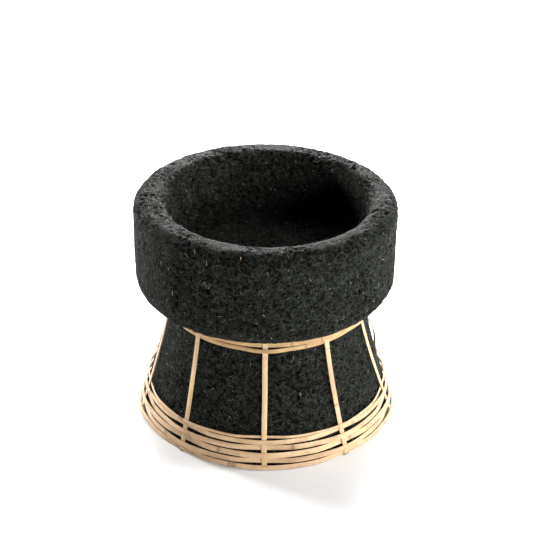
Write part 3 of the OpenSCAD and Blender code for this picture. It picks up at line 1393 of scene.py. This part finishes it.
    def build_wisps(self, shapes: ShapeGroups, material: Material) -> None:
        """Builds the curled hairs of cane and fibre that stick out along the neck hoops and the band.

        Args:
            shapes: the geometry node groups.
            material: their material.
        """
        draw = np.random.default_rng(Seed.WISPS)
        chains = []
        outs = []
        for number in range(self.wisps):
            at_neck = number % 3 == 0
            z = draw.uniform(75, 79.5) if at_neck else draw.uniform(22.5, 25)
            degrees = draw.uniform(0, 360)
            radius = draw.uniform(1.2, 3.2)
            sweep = draw.uniform(60, 230)
            lean = draw.uniform(0, 360)
            out = self.outward(degrees, z)
            side = np.cross([0, 0, 1], out)
            side /= np.linalg.norm(side)
            up = np.cross(out, side)
            centre = self.place(degrees, z, 1.2)
            turns = np.radians(lean + sweep * np.linspace(0, 1, self.wisp_points))
            curl = (np.cos(turns)[:, None] * side + np.sin(turns)[:, None] * up) * radius
            curl += np.linspace(-0.6, 0.3, self.wisp_points)[:, None] * out
            chain = centre + curl
            chains.append(chain)
            outs.append(self.squared_to_path(chain, np.tile(out, (self.wisp_points, 1))))
        count = self.wisp_points * len(chains)
        along = np.concatenate([self.lengths(chain) for chain in chains])
        mesh = path_mesh("cane_wisps", chains, {
            "out": np.concatenate(outs), "along": along, "thin": np.ones(count), "girth": np.ones(count),
            "knot": np.zeros(count), "cut": np.zeros(count), "tone": np.full(count, 0.3)})
        wisps = run_nodes(mesh, shapes.strip, {
            "Width": self.wisp_size[0] * MM, "Thickness": self.wisp_size[1] * MM, "Sides": 5,
            "Squareness": 0.8, "Groove Depth": 0.0, "Groove Width": 1.0 * MM,
            "Seed": float(Seed.WISP_GROOVES), "Material": material}, "cane_wisps")
        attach(wisps, BODY)
        report(wisps)

    def build(self, shapes: ShapeGroups, groups: ShaderGroups) -> None:
        """Builds the whole cage.

        Args:
            shapes: the geometry node groups.
            groups: the shader groups.
        """
        rib_material = self.rib_finish.material(groups)
        hoop_material = self.hoop_finish.material(groups)
        for number in range(1, len(self.rib_tops) + 1):
            self.build_rib(number, shapes, rib_material)
        neck_material = self.neck_finish.material(groups)
        for hoop in self.hoops():
            self.build_hoop(hoop, shapes, neck_material if hoop.node.startswith("neck") else hoop_material)
        self.build_wisps(shapes, hoop_material)


@dataclass(frozen=True)
class Softbox:
    """One square area light that faces the mortar. Lengths are in metres."""

    name: str
    azimuth: float
    elevation: float
    distance: float
    side: float
    power: float

    def build(self, target: Vector) -> None:
        """Adds the light.

        Args:
            target: the point that it faces.
        """
        light = bpy.data.lights.new(self.name, "AREA")
        light.shape = "SQUARE"
        light.size = self.side
        light.energy = self.power
        piece = bpy.data.objects.new(self.name, light)
        bpy.context.scene.collection.objects.link(piece)
        a = math.radians(self.azimuth)
        e = math.radians(self.elevation)
        towards = Vector((math.cos(e) * math.cos(a), math.cos(e) * math.sin(a), math.sin(e)))
        piece.location = target + towards * self.distance
        piece.rotation_euler = towards.to_track_quat("Z", "Y").to_euler()


@dataclass
class Studio:
    """A plain pale floor, soft light from all round and the camera. Lengths are in metres."""

    floor_half: float = 4.0
    ambient: float = 0.036
    target: tuple[float, float, float] = (-0.00086, 0.0, 0.1069)
    elevation: float = 29.03
    distance: float = 1.0472
    lens: float = 101.31
    roll: float = 0.67
    boxes: tuple[Softbox, ...] = (
        Softbox("back_box", 90, 30, 1.6, 1.2, 30.0),
        Softbox("right_box", 0, 30, 1.5, 0.5, 8.5),
        Softbox("low_back_box", 90, 14, 1.6, 0.8, 100.0),
        Softbox("low_right_back_box", 35, 14, 1.5, 0.8, 7.5),
        Softbox("low_left_back_box", 145, 14, 1.5, 0.3, 38.0),
        Softbox("low_right_box", 0, 14, 1.5, 0.3, 17.0),
        Softbox("low_right_front_box", 304, 16, 1.5, 0.35, 19.0),
    )
    floor_finish: FloorFinish = field(default_factory=FloorFinish)

    def build_floor(self, groups: ShaderGroups) -> None:
        """Adds the floor.

        Args:
            groups: the shader groups.
        """
        half = self.floor_half
        mesh = bpy.data.meshes.new("pale_floor")
        corners = [(-half, -half, 0), (half, -half, 0), (half, half, 0), (-half, half, 0)]
        mesh.from_pydata(corners, [], [(0, 1, 2, 3)])
        mesh.materials.append(self.floor_finish.material(groups))
        floor = bpy.data.objects.new("pale_floor", mesh)
        bpy.context.scene.collection.objects.link(floor)

    def build_world(self) -> None:
        """Adds a white room that looks bright beyond the floor and lights the mortar only faintly."""
        world = bpy.data.worlds.new("white_room")
        world.use_nodes = True
        background = world.node_tree.nodes["Background"]
        background.inputs["Color"].default_value = (1.0, 1.0, 1.0, 1.0)
        tree = Tree(world.node_tree)
        seen = tree.add("ShaderNodeLightPath").outputs["Is Camera Ray"]
        strength = tree.plus(tree.times(seen, 1.0), self.ambient)
        world.node_tree.links.new(strength, background.inputs["Strength"])
        bpy.context.scene.world = world

    def build_camera(self) -> None:
        """Adds the camera, which looks down at the mortar from the front."""
        camera = bpy.data.cameras.new("camera")
        camera.lens = self.lens
        camera.sensor_width = 36.0
        piece = bpy.data.objects.new("camera", camera)
        bpy.context.scene.collection.objects.link(piece)
        e = math.radians(self.elevation)
        piece.location = Vector(self.target) + self.distance * Vector((0, -math.cos(e), math.sin(e)))
        pitch = Matrix.Rotation(math.radians(90) - e, 3, "X")
        roll = Matrix.Rotation(math.radians(self.roll), 3, "Z")
        piece.rotation_euler = (pitch @ roll).to_euler()
        bpy.context.scene.camera = piece

    def build(self, groups: ShaderGroups) -> None:
        """Adds the camera, the world, the floor and the lights, and plain colour without a film curve.

        Args:
            groups: the shader groups.
        """
        self.build_camera()
        self.build_world()
        self.build_floor(groups)
        for box in self.boxes:
            box.build(Vector(self.target))
        bpy.context.scene.view_settings.view_transform = "Standard"


def report(piece: Object) -> None:
    """Logs a finished piece."""
    LOG.info("%s: %d points, %d faces", piece.name, len(piece.data.vertices), len(piece.data.polygons))


def main() -> None:
    """Builds the mortar, its cage and the studio."""
    logging.basicConfig(level=logging.INFO, format="%(name)s %(message)s")
    groups = ShaderGroups()
    shapes = ShapeGroups()
    Studio().build(groups)
    stone = StoneMortar().build(shapes, groups)
    StoneFibres().build(stone, shapes, groups)
    RattanCage().build(shapes, groups)


if __name__ == "__main__":
    main()
